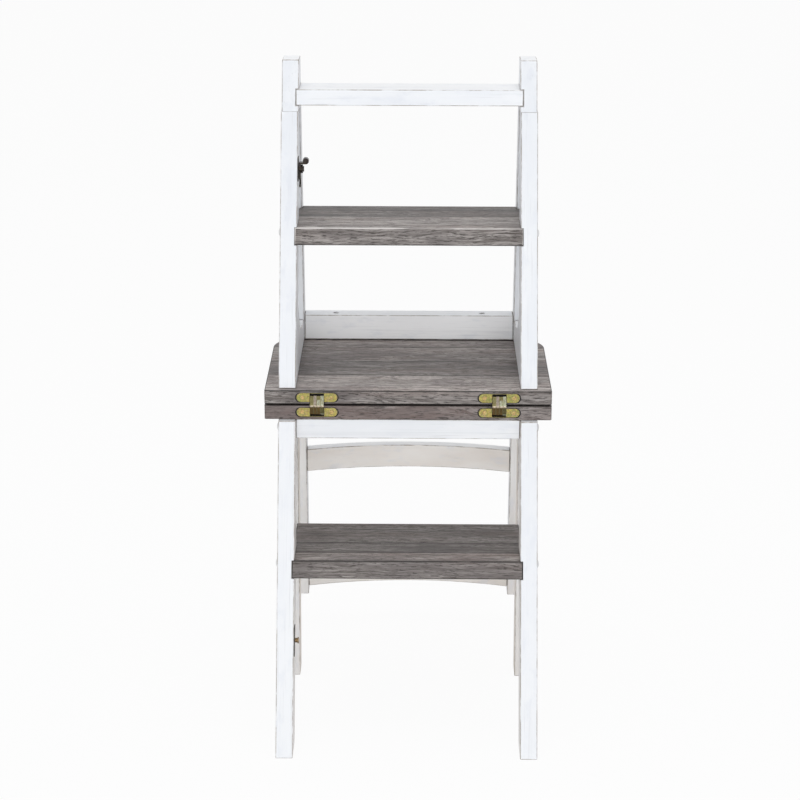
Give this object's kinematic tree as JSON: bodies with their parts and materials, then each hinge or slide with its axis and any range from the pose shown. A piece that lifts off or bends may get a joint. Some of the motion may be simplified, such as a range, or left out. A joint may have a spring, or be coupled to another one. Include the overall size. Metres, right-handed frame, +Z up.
{
  "type": "library step chair",
  "caption": "Folding library step chair: a white frame with washed wood treads stands as a step ladder and turns over its seat hinges into a chair.",
  "frame": {"origin": "on the floor, under the middle of the step ladder's box", "axes": "+X to the climber's right, +Y away from the climber, +Z up"},
  "size_m": [0.396, 0.5212, 0.898],
  "materials": {
    "white_paint": "white paint, rubbed through to brown wood along the edges",
    "washed_wood": "open grain, grey-brown wash, satin",
    "white_metal": "white paint on steel caps, satin",
    "hinge_brass": "yellow zinc, satin",
    "dark_bronze": "dark bronze, satin"
  },
  "bodies": {
    "lower_unit": {"lower_seat_board": "washed_wood", "lower_rail_left": "white_paint", "lower_rail_right": "white_paint", "front_leg_left": "white_paint", "front_leg_right": "white_paint", "lower_side_apron_left": "white_paint", "lower_side_apron_right": "white_paint", "lower_cross_rail": "white_paint", "front_apron": "white_paint", "lower_step": "washed_wood", "lower_hinge_leaf_left": "hinge_brass", "lower_hinge_leaf_right": "hinge_brass", "lower_leaf_screw_left_1": "hinge_brass", "lower_leaf_screw_left_2": "hinge_brass", "lower_leaf_screw_right_1": "hinge_brass", "lower_leaf_screw_right_2": "hinge_brass", "lower_step_bolt_left": "white_metal", "lower_step_bolt_right": "white_metal", "cross_rail_bolt_left": "white_metal", "cross_rail_bolt_right": "white_metal", "front_apron_screw_left": "dark_bronze", "front_apron_screw_right": "dark_bronze", "strike_plate": "dark_bronze", "strike_stud": "dark_bronze", "strike_screw_1": "dark_bronze", "strike_screw_2": "dark_bronze"},
    "upper_unit": {"upper_seat_board": "washed_wood", "upper_rail_left": "white_paint", "upper_rail_right": "white_paint", "rear_post_left": "white_paint", "rear_post_right": "white_paint", "upper_side_apron_left": "white_paint", "upper_side_apron_right": "white_paint", "rear_apron": "white_paint", "upper_step": "washed_wood", "top_rail": "white_paint", "back_slat_lower": "white_paint", "back_slat_crest": "white_paint", "upper_hinge_leaf_left": "hinge_brass", "upper_hinge_leaf_right": "hinge_brass", "upper_leaf_screw_left_1": "hinge_brass", "upper_leaf_screw_left_2": "hinge_brass", "upper_leaf_screw_right_1": "hinge_brass", "upper_leaf_screw_right_2": "hinge_brass", "upper_step_bolt_left": "white_metal", "upper_step_bolt_right": "white_metal", "rear_apron_screw_left": "dark_bronze", "rear_apron_screw_right": "dark_bronze", "hook_plate": "dark_bronze", "hook_screw_1": "dark_bronze", "hook_screw_2": "dark_bronze", "latch_pivot": "dark_bronze"},
    "hinge_links": {"hinge_links_left": "hinge_brass", "hinge_links_right": "hinge_brass"},
    "latch_hook": {"latch_lever": "dark_bronze"}
  },
  "joints": [
    {"name": "seat_fold", "type": "hinge", "parent": "lower_unit", "child": "upper_unit", "pos_m": [0, -0.08504, 0.45], "axis": [1, 0, 0], "range_deg": [0, 180]},
    {"name": "hinge_link_turn", "type": "hinge", "parent": "lower_unit", "child": "hinge_links", "pos_m": [0, -0.08504, 0.45], "axis": [1, 0, 0], "range_deg": [0, 90]},
    {"name": "latch_hook_turn", "type": "hinge", "parent": "upper_unit", "child": "latch_hook", "pos_m": [-0.155, 0.04184, 0.75396], "axis": [-1, 0, 0], "range_deg": [0, 90]}
  ],
  "couplings": [
    {"joint": "hinge_link_turn", "follows": "seat_fold", "ratio": 0.5}
  ]
}
